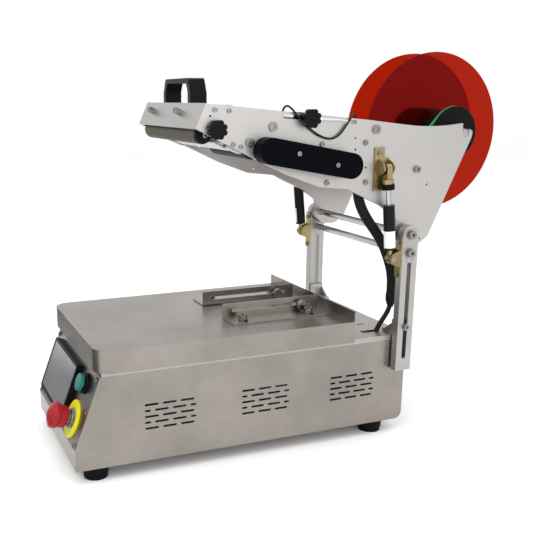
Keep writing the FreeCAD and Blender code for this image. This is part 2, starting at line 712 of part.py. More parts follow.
def plate_outline():
    """The side plate, front at the left: straight nose, hooked tail with an open axle notch."""
    notch = S.axle_rad + 0.2
    return outline(
        (210, 517, 3), (471, 491), (590, 476.5, 411), (AXLE[0] - notch, 483.5, 1.5),
        (AXLE[0] - notch, AXLE[1] - notch, notch - 0.01), (AXLE[0] + notch, AXLE[1] - notch, notch - 0.01),
        (AXLE[0] + notch, 475.5, 1.5), (663.5, 470, 3), (662, 461, 8), (590, 307, 12), (571, 294, 14),
        (546, 294, 12), (525, 312, 14), (531, 338, 12), (499.5, 360.5), (460, 378.7), (441, 388.6, 10),
        (390, 394.5, 30), (333, 415.7), (194, 482, 3))


def bracket_screws():
    """The spots of the screws that hold the upper spring brackets."""
    return [(UPPER_PIN[0] + BRACKET_MIDDLE, UPPER_PIN[1] + z) for z in BRACKET_SCREWS_UP]


def side_plates():
    holes = circles(S.pivot_hole, PIVOT) + circles(3.2, *BIG_SCREWS)
    holes += circles(9.1, DRIVE) + circles(12, MOTOR)
    holes += circles(2.2, *SMALL_SCREWS, *MOTOR_SCREWS) + circles(1.6, *TAPPED_HOLES) + circles(4.2, BRAKE)
    holes += circles(2.6, FRONT_KNOB) + circles(1.7, *COVER_SCREWS)
    holes += circles(2.2, *bracket_screws())
    outer = -S.plate_inner - S.plate_thick
    for name, start in (("arm_plate_near", S.plate_inner), ("arm_plate_far", outer)):
        body = new_body(name)
        pad(body, sketch(body, "YZ_Plane", plate_outline()), "plate_thick")
        pocket(body, sketch(body, "YZ_Plane", holes), "plate_thick * 3", both_ways=True)
        turn = FreeCAD.Rotation(V(0, 0, 1), TRACK_TURN)
        track = FreeCAD.Placement(V(*CLAMP_TRACK, 0), turn)
        run = sketch(body, "YZ_Plane", slot((0, 0), TRACK_LONG, 5.4), track)
        pocket(body, run, "plate_thick * 3", both_ways=True)
        node(body, name, at(start, 0, 0))


def brake_stub():
    """The fixed stub, on the near plate, that carries the brake's pulley between two shoulders."""
    reach = S.plate_inner - PULLEY_START
    bar = fuse(
        rod(4, reach + 2, (-2, 0, 0), ALONG_X),
        rod(7, reach - 12.4, (12.4, 0, 0), ALONG_X),
        rod(7, 2, (-2.3, 0, 0), ALONG_X),
    )
    bar.Placement.Base = at(PULLEY_START, *BRAKE)
    return bar


def cross_bars():
    """Round bars between the side plates, tapped at both ends, and the roller's shaft."""
    made = []
    for spot, radius in ((FRONT_BAR, 6), (REAR_BAR, 6), (PINCH, 4.5), (ROLLER, 4)):
        bar = rod(radius, "2 * plate_inner", (-S.plate_inner, 0, 0), ALONG_X)
        tap = 1.6 if spot is ROLLER else 3.05
        ends = [rod(tap, 14, (side * (S.plate_inner - 7) - 7, 0, 0), ALONG_X) for side in (-1, 1)]
        bar = cut(bar, *ends)
        bar.Placement.Base = at(0, *spot)
        made.append(bar)
    made.append(brake_stub())
    node(group(*made), "cross_bars")


def head_screws():
    """Every screw of the head's outer faces, and the two stand-offs of the front plate."""
    made = []
    for side, turn in ((1, ALONG_X), (-1, ALONG_MINUS_X)):
        face = side * (S.plate_inner + S.plate_thick)
        for spot in BIG_SCREWS:
            made.append(screw(7, 2.2, 3, S.plate_thick + 6.5, at(face, *spot), turn))
        for spot in SMALL_SCREWS:
            made.append(screw(3.4, 2.2, 2, S.plate_thick + 3, at(face, *spot), turn))
        made.append(screw(5.5, 4, 4, S.plate_thick, at(face, *BRAKE), turn))
        for spot in bracket_screws():
            made.append(screw(3.8, 2.4, 2, 8, at(side * (abs(face) + 2.5), *spot), turn))
    face = S.plate_inner + S.plate_thick
    for spot in MOTOR_SCREWS:
        made.append(screw(3.8, 2.4, 2, S.plate_thick + 3, at(face, *spot), ALONG_X, washer=4.6))
    for spot in COVER_SCREWS:
        made.append(screw(3.4, 2.2, 1.5, S.cover_deep + 5, at(face + S.cover_deep, *spot), ALONG_X))
    lean = front_lean()
    for x in (-73.0, 49.0):
        place = front_spot(x, 22.0, 3.0)
        made.append(cut(hexagon(5.2, 12, place, lean), rod(2, 6, place + lean.multVec(V(0, 0, 7)), lean)))
    node(group(*made), "head_screws")


def front_angle():
    return math.atan2(210 - 194, 517 - 482)


def front_lean():
    return FreeCAD.Rotation(V(1, 0, 0), 90 - math.degrees(front_angle()))


def front_spot(x, up, out=0.0):
    """A point on the nose's sloping edge: across, up from its lower corner and forwards."""
    turn = front_angle()
    y = 194 + up * math.sin(turn) - out * math.cos(turn)
    z = 482 + up * math.cos(turn) + out * math.sin(turn)
    return at(x, y, z)


def front_plate():
    """The nose: a sloping plate with a level shelf behind it for the handle."""
    turn = front_angle()
    high = math.hypot(16, 35) - 0.5
    thick = 3.0
    over = (thick * math.cos(turn), thick * math.sin(turn))
    foot, top = (194.0, 482.0), (194 + high * math.sin(turn), 482 + high * math.cos(turn))
    face = outline(foot, (foot[0] - over[0], foot[1] + over[1]), (top[0] - over[0], top[1] + over[1]), top)
    body = new_body("front_plate")
    pad(body, sketch(body, "YZ_Plane", face), "2 * (plate_inner + plate_thick)", both_ways=True)
    shelf = outline((top[0] - 1, 512), (top[0] - 1, 515), (250, 515), (250, 512))
    pad(body, sketch(body, "YZ_Plane", shelf), "2 * plate_inner", both_ways=True)
    for start in (-S.plate_inner, S.plate_inner - 4):
        tab = outline((213, 502, 2), (249, 501, 2), (249, 513), (213, 513))
        pad(body, sketch(body, "YZ_Plane", tab, FreeCAD.Placement(V(0, 0, start), UPRIGHT)), "4")
    pocket(body, sketch(body, "YZ_Plane", circles(2.05, *SMALL_SCREWS[:2])), "400", both_ways=True)
    node(body, "front_plate", at(0, 0, 0))


def handle():
    """A moulded bridge handle with a finger opening."""
    body = new_body("handle")
    pad(body, sketch(body, "XZ_Plane", outline(
        (-60, 0, 2), (60, 0, 2), (60, 17, 4), (50, 38, 6), (-50, 38, 6), (-60, 17, 4))), "26", back=True)
    pocket(body, sketch(body, "XZ_Plane", outline(
        (-49, -5), (49, -5), (49, 19, 5), (42, 31, 5), (-42, 31, 5), (-49, 19, 5))), "80", both_ways=True)
    node(body, "handle", at(0, 211, 515))


def peel_plate():
    """A thin blade between two end blocks that are screwed to the side plates."""
    body = new_body("peel_plate")
    pad(body, sketch(body, "YZ_Plane", outline(
        (226, 463), (258, 449.6), (259, 451.4), (226.5, 464.6))), "220", both_ways=True)
    for start in (-S.plate_inner, S.plate_inner - 12):
        tab = outline((240, 455.5), (264, 445.7, 2), (267, 459, 3), (243, 468.5, 3))
        pad(body, sketch(body, "YZ_Plane", tab, FreeCAD.Placement(V(0, 0, start), UPRIGHT)), "12")
    holes = circles(2.05, *SMALL_SCREWS[2:])
    pocket(body, sketch(body, "YZ_Plane", holes), "400", both_ways=True)
    node(body, "peel_plate", at(0, 0, 0))


def tube_roller(name, spot, radius, bore, start, end, rim=0.8):
    """A roller on a fixed shaft, with slightly smaller end caps."""
    length = end - start
    body = turned(name, (bore, 0), (radius - rim, 0, 0.5), (radius - rim, 5), (radius, 5),
                  (radius, length - 5), (radius - rim, length - 5), (radius - rim, length, 0.5),
                  (bore, length))
    node(body, name, at(start, *spot), ALONG_X)


def rollers():
    tube_roller("application_roller", ROLLER, S.roller_rad, 4.05, -118, 118)
    tube_roller("idler_front", FRONT_BAR, S.idler_rad, 6.05, -30, 66)
    tube_roller("idler_rear", REAR_BAR, S.idler_rad, 6.05, -30, 66)
    tube_roller("pinch_roller", PINCH, S.pinch_rad, 4.55, -40, 84, 0.4)


# ---------------------------------------------------------------- head drive

BELT_START = 138.0


def drive():
    """The feed roller with its toothed pulley, the motor with its own, and their belt."""
    low, face, wide = -S.plate_inner + 1, S.plate_inner + S.plate_thick, S.toothed_wide
    big, small = S.toothed_big, S.toothed_small
    shaft_end = BELT_START + wide + 1.5 - low
    core = turned("drive_roller", (0, 0), (6, 0), (6, 80), (S.drive_rad, 80), (S.drive_rad, 210), (9, 210),
                  (9, face - 1 - low), (5, face - 1 - low), (5, shaft_end), (0, shaft_end))
    node(core, "drive_roller", at(low, *DRIVE), ALONG_X)
    pulley = turned("driven_pulley", (5.02, 0), (big + 1.2, 0), (big + 1.2, 1), (big, 1), (big, wide - 1),
                    (big + 1.2, wide - 1), (big + 1.2, wide), (5.02, wide))
    node(pulley, "driven_pulley", at(BELT_START, *DRIVE), ALONG_X)
    wheel = turned("motor_pulley", (0, -24), (3.2, -24), (3.2, -4), (8, -4), (8, 0), (small + 1.2, 0),
                   (small + 1.2, 1), (small, 1), (small, wide - 1), (small + 1.2, wide - 1),
                   (small + 1.2, wide), (0, wide))
    node(wheel, "motor_pulley", at(BELT_START, *MOTOR), ALONG_X)
    gap, thick = 0.3, 1.8
    belt = new_body("timing_belt")
    outer = loop(MOTOR, small + gap + thick, DRIVE, big + gap + thick)
    pad(belt, sketch(belt, "YZ_Plane", outer), "toothed_wide - 3")
    pocket(belt, sketch(belt, "YZ_Plane", loop(MOTOR, small + gap, DRIVE, big + gap)), "40", both_ways=True)
    node(belt, "timing_belt", at(BELT_START + 1.5, 0, 0))


def motor():
    """A square stepper motor on an adapter plate, with its connector block."""
    plate = block(5, 84, 66, (-5, -42, -33))
    can = block(48, 57, 57, (-53, -28.5, -28.5))
    plug = block(22, 22, 14, (-25, 28, -27))
    shaft = rod(3.4, 60, (-59, 0, 0), ALONG_X)
    pilot = rod(11, 4, (0, 0, 0), ALONG_X)
    bore = rod(8.4, 14, (-6, 0, 0), ALONG_X)
    back = rod(3.4, 53, (-40, 0, 0), ALONG_X)
    shift = (431.0 - MOTOR[0], 428.5 - MOTOR[1])
    plate.Placement.Base = V(-5, -42 + shift[0], -33 + shift[1])
    holes = [rod(2.05, 8, (-7, y - MOTOR[0], z - MOTOR[1]), ALONG_X) for y, z in MOTOR_SCREWS]
    whole = cut(fuse(plate, can, plug, pilot), shaft, bore, back, *holes)
    node(whole, "stepper_motor", at(S.plate_inner, *MOTOR))


def belt_cover():
    """The black stadium-shaped cover over the toothed belt, with two screw posts."""
    body = new_body("belt_cover")
    outer, wall = S.cover_rad, S.cover_wall
    pad(body, sketch(body, "YZ_Plane", loop(MOTOR, outer, DRIVE, outer + 0.01)), "cover_deep")
    pocket(body, sketch(body, "YZ_Plane", loop(MOTOR, outer - wall, DRIVE, outer - wall + 0.01)),
           "cover_deep - cover_wall", back=True)
    pad(body, sketch(body, "YZ_Plane", circles(3.6, *COVER_SCREWS)), "cover_deep - cover_wall / 2")
    pocket(body, sketch(body, "YZ_Plane", circles(1.7, *COVER_SCREWS)), "80", both_ways=True)
    node(body, "belt_cover", at(S.plate_inner + S.plate_thick, 0, 0))


# ---------------------------------------------------------------- reel

DISC_FAR = -12.0
PULLEY_START = 94.0


def reel():
    """Two discs on a core hub, with the belt pulley of the brake on the same axle."""
    far, gap, disc = DISC_FAR, S.disc_gap, S.disc_thick
    end = S.plate_inner + S.plate_thick - 1
    bar = rod("axle_rad", "2 * (plate_inner + plate_thick) - 2", (-end, 0, 0), ALONG_X)
    caps = [rod(7.5, 8, (x, 0, 0), ALONG_X) for x in (-S.plate_inner + 0.4, S.plate_inner - 8.4)]
    node(fuse(bar, *caps), "reel_axle", at(0, *AXLE))
    discs = []
    for x in (far - disc, far + gap):
        plate = cut(rod("disc_rad", "disc_thick", (0, 0, 0), ALONG_X), rod(15.1, disc, (0, 0, 0), ALONG_X))
        plate.Placement.Base = at(x, *AXLE)
        discs.append(plate)
    node(group(*discs), "reel_discs")
    bore, hub, low, top = S.axle_hole, S.hub_rad, 12.0, 12.0 + S.disc_gap
    core = turned("reel_hub", (bore, 0), (22, 0, 1.5), (22, 9), (15, 9), (15, low), (hub, low, 1.5),
                  (hub, top, 1.5), (15, top), (15, top + 3), (22, top + 3), (22, top + 11, 1.5),
                  (bore, top + 11))
    node(core, "reel_hub", at(far - low, *AXLE), ALONG_X)
    rim, track, groove = S.reel_pulley_rad, S.belt_track, S.cord_rad + 0.3
    wheel = turned("reel_pulley", (bore, -38), (14, -38, 1), (14, 0), (rim, 0, 0.5), (rim, 3),
                   (track - 1, 4.4), (track - groove, 5.2), (track - groove, 6.8), (track - 1, 7.6),
                   (rim, 9), (rim, 12, 0.5), (14, 12), (14, 20), (bore, 20))
    node(wheel, "reel_pulley", at(PULLEY_START, *AXLE), ALONG_X)
    track = S.brake_track
    small = turned("brake_pulley", (4.05, 0), (track + 3, 0, 0.5), (track + 3, 3), (track - 1, 4.4),
                   (track - groove, 5.2), (track - groove, 6.8), (track - 1, 7.6), (track + 3, 9),
                   (track + 3, 12, 0.5), (4.05, 12))
    node(small, "brake_pulley", at(PULLEY_START, *BRAKE), ALONG_X)
    body = new_body("brake_belt")
    half = S.cord_rad
    outer = loop(BRAKE, S.brake_track + half, AXLE, S.belt_track + half)
    pad(body, sketch(body, "YZ_Plane", outer), "3", both_ways=True)
    inner = loop(BRAKE, S.brake_track - 0.5, AXLE, S.belt_track - 0.5)
    pocket(body, sketch(body, "YZ_Plane", inner), "20", both_ways=True)
    node(body, "brake_belt", at(PULLEY_START + 6, 0, 0))


# ---------------------------------------------------------------- sensor and knobs


def star_knob(name, spot, neck, shank):
    """A lobed hand knob on a round neck, with its shank through the near side plate."""
    body = new_body(name)
    rim, lobes = 13.0, 8
    curves = []
    for i in range(lobes):
        a, b, c = ((i + k) * 2 * math.pi / lobes for k in (0, 0.5, 1))
        spots = [V(r * math.cos(t), r * math.sin(t), 0) for r, t in ((11, a), (14, b), (11, c))]
        curves.append(Part.Arc(*spots))
    pad(body, sketch(body, "XY_Plane", curves, FreeCAD.Placement(V(0, 0, neck), UPRIGHT)), "10")
    pad(body, sketch(body, "XY_Plane", circles(rim / 2, (0, 0))), str(neck + 2))
    foot = FreeCAD.Placement(V(0, 0, -shank), UPRIGHT)
    pad(body, sketch(body, "XY_Plane", circles(2.5, (0, 0)), foot), str(shank + 1))
    node(body, name, at(S.plate_inner + S.plate_thick + 0.3, *spot), ALONG_X)


def sensor():
    """A reflex sensor on a carriage that slides along the near plate's slot."""
    face = S.plate_inner
    carriage = block(6, 34, 16, (face - 6.3, -17, -8))
    arm = block(60, 10, 6, (face - 66, -5, -8))
    eye = block(26, 34, 14, (face - 90, -17, -15))
    lens = rod(4, 1.5, (face - 77, 0, -15))
    whole = cut(fuse(carriage, arm, eye), rod(2.6, 8, (face - 7, 0, 0), ALONG_X), lens)
    node(whole, "label_sensor", at(0, *SENSOR_SPOT), FreeCAD.Rotation(V(1, 0, 0), TRACK_TURN))


# ---------------------------------------------------------------- cables


def cable_path(name, points):
    """Straight runs joined by tangent arcs, each as large as its two runs allow."""
    edges, last, radii = [], points[0], []
    for before, here, after in zip(points, points[1:], points[2:]):
        back, ahead = before - here, after - here
        turn = math.pi - back.getAngle(ahead)
        reach = 0.45 * min(back.Length, ahead.Length)
        radii.append(reach / math.tan(turn / 2))
        start = here + back.normalize() * reach
        end = here + ahead.normalize() * reach
        middle = (back + ahead).normalize()
        top = here + middle * (radii[-1] / math.cos(turn / 2) - radii[-1])
        edges.append(Part.LineSegment(last, start).toShape())
        edges.append(Part.Arc(start, top, end).toShape())
        last = end
    edges.append(Part.LineSegment(last, points[-1]).toShape())
    print(name, "radii", [round(r, 1) for r in radii])
    return Part.Wire(edges)


def cable(name, radius, route):
    """A round cable along a route of points given from the base's front bottom edge."""
    points = [at(*p) for p in route]
    path = cable_path(name, points)
    ring = Part.Wire(Part.Circle(points[0], points[1] - points[0], radius).toShape())
    tube = path.makePipeShell([ring], True, False)
    share = tube.Volume / (math.pi * radius ** 2 * path.Length)
    print(name, "length", round(path.Length, 1), "volume share", round(share, 4))
    feature = doc.addObject("Part::Feature", name)
    feature.Shape = tube
    feature.Label = name
    nodes.append(feature)


SLEEVE_ROUTE = (
    (112, 468, 399), (112, 468, 384), (112, 474, 361), (112, 488, 338), (112, 505, 318),
    (112, 520, 297), (112, 531, 274), (111.5, 540, 250), (110.5, 543.5, 225), (110, 543, 203))
LEAD_ROUTE = (
    (110, 543, 202.95), (109.7, 542.7, 190), (109.5, 537, 178), (108.5, 528.5, 165.5),
    (107.5, 521, 152.5), (107, 515.5, 140))
WIRE_ROUTE = (
    (118, 330, 497), (121, 330.5, 507), (128.5, 333, 514), (135.6, 338, 509.5), (135.6, 347, 499),
    (135.6, 358, 489), (135.6, 371, 478), (135.6, 387, 468.5), (135.6, 404, 464), (135.6, 418, 469.5),
    (135.6, 428, 482), (135.2, 436.5, 494), (129, 446, 501.5), (121, 452.5, 496), (119.5, 455, 487))


def write():
    for obj in doc.Objects:
        if "Invalid" in obj.State or "Error" in obj.State:
            raise RuntimeError(f"{obj.Label} ({obj.Name}) failed: {obj.State}")
    for obj in nodes:
        if obj.Shape.isNull() or not obj.Shape.isValid():
            raise RuntimeError(f"{obj.Label} has no valid shape")
    os.makedirs("parts", exist_ok=True)
    for obj in nodes:
        obj.Shape.exportStep(f"parts/{obj.Label}.step")
    box = FreeCAD.BoundBox()
    for obj in nodes:
        box.add(obj.Shape.BoundBox)
    print(len(nodes), "parts; box", box)


base_shell()
side_panels()
rear_panel()
lid()
platen()
feet()
guide("near_guide", 1)
guide("far_guide", -1)
rail_knobs()
controls()
rear_inlet()
inner_modules()
post_brackets()
base_screws()
posts()
cross_rods()
post_bolts()
lower_spring_brackets()
gas_springs()
upper_spring_brackets()
side_plates()
cross_bars()
head_screws()
front_plate()
handle()
peel_plate()
rollers()
drive()
motor()
belt_cover()
reel()
star_knob("front_knob", FRONT_KNOB, 1, 11)
star_knob("sensor_knob", SENSOR_SPOT, 6, 12)
sensor()
cable("harness_sleeve", S.sleeve_rad, SLEEVE_ROUTE)
cable("harness_lead", S.lead_rad, LEAD_ROUTE)
cable("sensor_cable", S.wire_rad, WIRE_ROUTE)
doc.recompute()
write()
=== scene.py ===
import json
import math

import bpy
from mathutils import Matrix, Vector


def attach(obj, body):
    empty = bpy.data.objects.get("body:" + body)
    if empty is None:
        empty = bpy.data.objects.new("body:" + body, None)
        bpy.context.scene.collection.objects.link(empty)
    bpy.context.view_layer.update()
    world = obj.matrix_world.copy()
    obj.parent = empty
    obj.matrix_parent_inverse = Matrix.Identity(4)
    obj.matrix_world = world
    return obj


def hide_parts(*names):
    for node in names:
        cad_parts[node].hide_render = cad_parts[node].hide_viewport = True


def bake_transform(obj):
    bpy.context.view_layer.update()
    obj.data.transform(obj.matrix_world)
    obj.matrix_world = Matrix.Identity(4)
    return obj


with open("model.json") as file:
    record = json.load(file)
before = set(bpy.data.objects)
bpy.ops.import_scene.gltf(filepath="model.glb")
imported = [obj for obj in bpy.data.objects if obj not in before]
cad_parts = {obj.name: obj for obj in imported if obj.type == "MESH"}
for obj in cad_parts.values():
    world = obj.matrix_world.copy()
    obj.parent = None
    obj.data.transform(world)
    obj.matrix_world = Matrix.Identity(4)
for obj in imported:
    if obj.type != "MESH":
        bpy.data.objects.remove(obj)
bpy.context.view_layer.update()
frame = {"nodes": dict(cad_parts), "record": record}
NODES = frame["nodes"]

# The part's frame has its origin on the floor, below the middle of the machine.
BEHIND = 0.3742
FOOT = 0.023

# The gas springs' pins (back, up), distance from the middle and lean; the front panel's slope.
LOWER_PIN = (512.4, 278.7)
UPPER_PIN = (498.2, 419.2)
SPRING_OUT = 146.7
SPRING_LEAN = math.radians(5.771)
PANEL_SLOPE = math.radians(20.935)
PANEL_FOOT = 32

# Millimetres along a gas spring, out of the panel, or from the middle, where finishes change.
TUBE_FITTING_TOP = 15.2
ROD_COLLAR = (108, 117.9)
LABEL_SPAN = (18.5, 45.0)
RING_FACE = 2.6
BUTTON_CAP = 11.4
PIN_HEAD_NEAR = 153.95
PIN_HEAD_BESIDE = (9.85, 12)
ROLLER_CAP = 112.9

# The round belt's two pulleys: (back, up, radius to the cord's middle).
BELT_X = 100
BRAKE_PULLEY = (561.6, 414.7, 12.0)
REEL_PULLEY = (650.0, 468.0, 39.0)


def at(x, y, z):
    """A point given in millimetres from the base's front bottom edge."""
    return Vector((x / 1000, y / 1000 - BEHIND, z / 1000 + FOOT))


# ---------------------------------------------------------------- camera


def make_camera():
    azimuth, elevation, roll = (math.radians(a) for a in (69.14, 15.14, -0.38))
    data = bpy.data.cameras.new("camera")
    data.sensor_width = 36
    data.lens = 53.83
    data.shift_x = 0.1343
    data.shift_y = 0.0870
    camera = bpy.data.objects.new("camera", data)
    camera.matrix_world = (
        Matrix.Translation(at(1187.1, -213.3, 525.6))
        @ Matrix.Rotation(azimuth, 4, "Z")
        @ Matrix.Rotation(math.pi / 2 - elevation, 4, "X")
        @ Matrix.Rotation(roll, 4, "Z")
    )
    bpy.context.scene.collection.objects.link(camera)
    bpy.context.scene.camera = camera


make_camera()


# ---------------------------------------------------------------- materials


def node_tree(name):
    material = bpy.data.materials.new(name)
    material.use_nodes = True
    tree = material.node_tree
    tree.nodes.clear()
    return material, tree


def principled(tree, colour, rough, metal=0.0, coat=0.0, specular=0.5):
    shader = tree.nodes.new("ShaderNodeBsdfPrincipled")
    shader.inputs["Base Color"].default_value = (*colour, 1)
    shader.inputs["Roughness"].default_value = rough
    shader.inputs["Metallic"].default_value = metal
    shader.inputs["Coat Weight"].default_value = coat
    shader.inputs["Specular IOR Level"].default_value = specular
    return shader


def noise(tree, stretch, scale, detail=4.0):
    """Noise in the piece's own space, stretched by a factor along each axis."""
    place = tree.nodes.new("ShaderNodeTexCoord")
    mapping = tree.nodes.new("ShaderNodeMapping")
    mapping.inputs["Scale"].default_value = stretch
    texture = tree.nodes.new("ShaderNodeTexNoise")
    texture.inputs["Scale"].default_value = scale
    texture.inputs["Detail"].default_value = detail
    tree.links.new(place.outputs["Object"], mapping.inputs["Vector"])
    tree.links.new(mapping.outputs["Vector"], texture.inputs["Vector"])
    return texture.outputs["Fac"]


def ramp(tree, source, low, high, start=0.3, end=0.7):
    """Maps a value on to a range of colours or greys."""
    node = tree.nodes.new("ShaderNodeValToRGB")
    node.color_ramp.elements[0].position = start
    node.color_ramp.elements[1].position = end
    node.color_ramp.elements[0].color = (*low, 1)
    node.color_ramp.elements[1].color = (*high, 1)
    tree.links.new(source, node.inputs["Fac"])
    return node.outputs["Color"]


def bump(tree, shader, source, strength, distance=0.0002):
    node = tree.nodes.new("ShaderNodeBump")
    node.inputs["Strength"].default_value = strength
    node.inputs["Distance"].default_value = distance
    tree.links.new(source, node.inputs["Height"])
    tree.links.new(node.outputs["Normal"], shader.inputs["Normal"])


def output(tree, shader):
    node = tree.nodes.new("ShaderNodeOutputMaterial")
    tree.links.new(shader.outputs[0], node.inputs["Surface"])


def grey(value):
    return (value, value, value)


def brushed(name, colour, rough, stretch, depth=0.25, spread=0.06, metal=1.0):
    """Metal with fine brushing along one axis and broad faint clouds."""
    material, tree = node_tree(name)
    shader = principled(tree, colour, rough, metal)
    lines = noise(tree, stretch, 40)
    clouds = noise(tree, (1, 1, 1), 9, 3)
    darker = tuple(c * (1 - spread * 2) for c in colour)
    lighter = tuple(min(1, c * (1 + spread)) for c in colour)
    tree.links.new(ramp(tree, clouds, darker, lighter), shader.inputs["Base Color"])
    tree.links.new(ramp(tree, lines, grey(rough - 0.06), grey(rough + 0.09)), shader.inputs["Roughness"])
    bump(tree, shader, lines, depth)
    output(tree, shader)
    return material


def plain(name, colour, rough, metal=0.0, coat=0.0, grain=0.0, scale=900.0, specular=0.5):
    """A moulded, painted or turned surface with a fine grain."""
    material, tree = node_tree(name)
    shader = principled(tree, colour, rough, metal, coat, specular)
    texture = noise(tree, (1, 1, 1), scale if grain else 30, 2)
    span = ramp(tree, texture, grey(max(0.02, rough - 0.05)), grey(min(1, rough + 0.07)))
    tree.links.new(span, shader.inputs["Roughness"])
    if grain:
        bump(tree, shader, texture, grain, 0.0003)
    output(tree, shader)
    return material


def tinted_disc(name):
    """Clear red acrylic: what is behind shows through its tint."""
    material, tree = node_tree(name)
    clear = tree.nodes.new("ShaderNodeBsdfTransparent")
    clear.inputs["Color"].default_value = (0.68, 0.125, 0.045, 1)
    shader = principled(tree, (0.20, 0.010, 0.005), 0.12, specular=0.5)
    scratches = noise(tree, (1, 6, 6), 60, 5)
    tree.links.new(ramp(tree, scratches, grey(0.06), grey(0.22)), shader.inputs["Roughness"])
    mix = tree.nodes.new("ShaderNodeMixShader")
    mix.inputs["Fac"].default_value = 0.13
    tree.links.new(clear.outputs[0], mix.inputs[1])
    tree.links.new(shader.outputs[0], mix.inputs[2])
    output(tree, mix)
    return material


def braid(name):
    """Woven black sleeving: two sets of crossing helical threads."""
    material, tree = node_tree(name)
    shader = principled(tree, (0.007, 0.007, 0.008), 0.62, specular=0.15)
    place = tree.nodes.new("ShaderNodeTexCoord")
    heights = []
    for turn in (0.6, -0.6):
        mapping = tree.nodes.new("ShaderNodeMapping")
        mapping.inputs["Rotation"].default_value = (turn, 0.4, 0)
        wave = tree.nodes.new("ShaderNodeTexWave")
        wave.inputs["Scale"].default_value = 320
        tree.links.new(place.outputs["Object"], mapping.inputs["Vector"])
        tree.links.new(mapping.outputs["Vector"], wave.inputs["Vector"])
        heights.append(wave.outputs["Fac"])
    both = tree.nodes.new("ShaderNodeMath")
    both.operation = "MAXIMUM"
    tree.links.new(heights[0], both.inputs[0])
    tree.links.new(heights[1], both.inputs[1])
    bump(tree, shader, both.outputs[0], 0.5, 0.0004)
    output(tree, shader)
    return material


ALONG_Y = (60, 1.5, 60)
ALONG_X = (1.5, 60, 60)
MATERIALS = {
    "stainless": brushed("stainless", (0.29, 0.268, 0.243), 0.28, ALONG_Y, 0.3, 0.10),
    "lid_plate": brushed("lid_plate", (0.40, 0.38, 0.36), 0.42, ALONG_X, 0.15, 0.03),
    "pale_aluminium": brushed("pale_aluminium", (0.42, 0.412, 0.40), 0.42, (60, 60, 2), 0.2, 0.03),
    "head_plate": brushed("head_plate", (0.465, 0.452, 0.44), 0.40, ALONG_Y, 0.12, 0.02),
    "foot_rubber": plain("foot_rubber", (0.004, 0.004, 0.005), 0.6, grain=0.2, specular=0.08),
    "bezel_plastic": plain("bezel_plastic", (0.005, 0.006, 0.008), 0.38, grain=0.08, specular=0.08),
    "screen": plain("screen", (0.165, 0.17, 0.175), 0.18, specular=0.4),
    "yellow_plastic": plain("yellow_plastic", (0.72, 0.68, 0.015), 0.45, specular=0.15),
    "red_plastic": plain("red_plastic", (0.30, 0.006, 0.012), 0.36, specular=0.25),
    "black_plastic": plain("black_plastic", (0.004, 0.004, 0.005), 0.45, grain=0.1, specular=0.08),
    "handle_plastic": plain("handle_plastic", (0.003, 0.003, 0.005), 0.36, grain=0.15, specular=0.10),
    "knob_plastic": plain("knob_plastic", (0.003, 0.003, 0.004), 0.34, grain=0.05, specular=0.10),
    "cover_paint": plain("cover_paint", (0.002, 0.0025, 0.004), 0.42, grain=0.25, scale=1400, specular=0.02),
    "green_plastic": plain("green_plastic", (0.015, 0.16, 0.135), 0.30, specular=0.3),
    "zinc_sheet": brushed("zinc_sheet", (0.60, 0.61, 0.62), 0.4, ALONG_X, 0.1, 0.1),
    "screw_steel": plain("screw_steel", (0.27, 0.262, 0.25), 0.26, metal=1.0),
    "yellow_zinc": brushed("yellow_zinc", (0.42, 0.34, 0.17), 0.30, ALONG_Y, 0.1, 0.25),
    "bright_rod": plain("bright_rod", (0.46, 0.46, 0.475), 0.16, metal=1.0),
    "spring_paint": plain("spring_paint", (0.003, 0.003, 0.004), 0.28, specular=0.15),
    "blade_steel": brushed("blade_steel", (0.40, 0.40, 0.39), 0.28, ALONG_X, 0.15),
    "olive_rubber": plain("olive_rubber", (0.060, 0.054, 0.036), 0.5, grain=0.15, specular=0.2),
    "drive_rubber": plain("drive_rubber", (0.02, 0.02, 0.02), 0.6, grain=0.15, specular=0.2),
    "roller_metal": plain("roller_metal", (0.46, 0.46, 0.46), 0.34, metal=1.0),
    "pulley_metal": plain("pulley_metal", (0.44, 0.44, 0.45), 0.34, metal=1.0),
    "belt_rubber": plain("belt_rubber", (0.015, 0.015, 0.015), 0.6),
    "motor_paint": plain("motor_paint", (0.02, 0.02, 0.022), 0.42),
    "disc_acrylic": tinted_disc("disc_acrylic"),
    "green_cord": plain("green_cord", (0.012, 0.20, 0.05), 0.42, specular=0.3),
    "sleeve_braid": braid("sleeve_braid"),
    "lead_jacket": plain("lead_jacket", (0.006, 0.006, 0.007), 0.45, specular=0.15),
    "wire_jacket": plain("wire_jacket", (0.006, 0.006, 0.009), 0.36, specular=0.2),
}
PAPER = plain("label_paper", (0.78, 0.78, 0.76), 0.55)


def paint_nodes():
    """Gives every CAD node the material of its record slot."""
    for part in frame["record"]["subparts"]:
        target = NODES[part["node"]]
        target.data.materials.clear()
        target.data.materials.append(MATERIALS[part["material_slot"]])


paint_nodes()


def along_spring(point):
    """How far a point is from the lower pin, measured along the gas springs, in millimetres."""
    away = (point - at(0, *LOWER_PIN)) * 1000
    return away.z * math.cos(SPRING_LEAN) - away.y * math.sin(SPRING_LEAN)


def out_of_panel(point):
    """How far a point stands out from the sloping front panel, in millimetres."""
    away = (point - at(0, 0, PANEL_FOOT)) * 1000
    return away.z * math.sin(PANEL_SLOPE) - away.y * math.cos(PANEL_SLOPE)


def across(point):
    """How far a point is from the machine's middle plane, in millimetres."""
    return abs(point.x) * 1000


def beside_pin(point):
    """How far along a gas spring's upper pin a point is from the spring, in millimetres."""
    return abs((point - at(0, *UPPER_PIN)).y) * 1000 if across(point) > 140 else 0


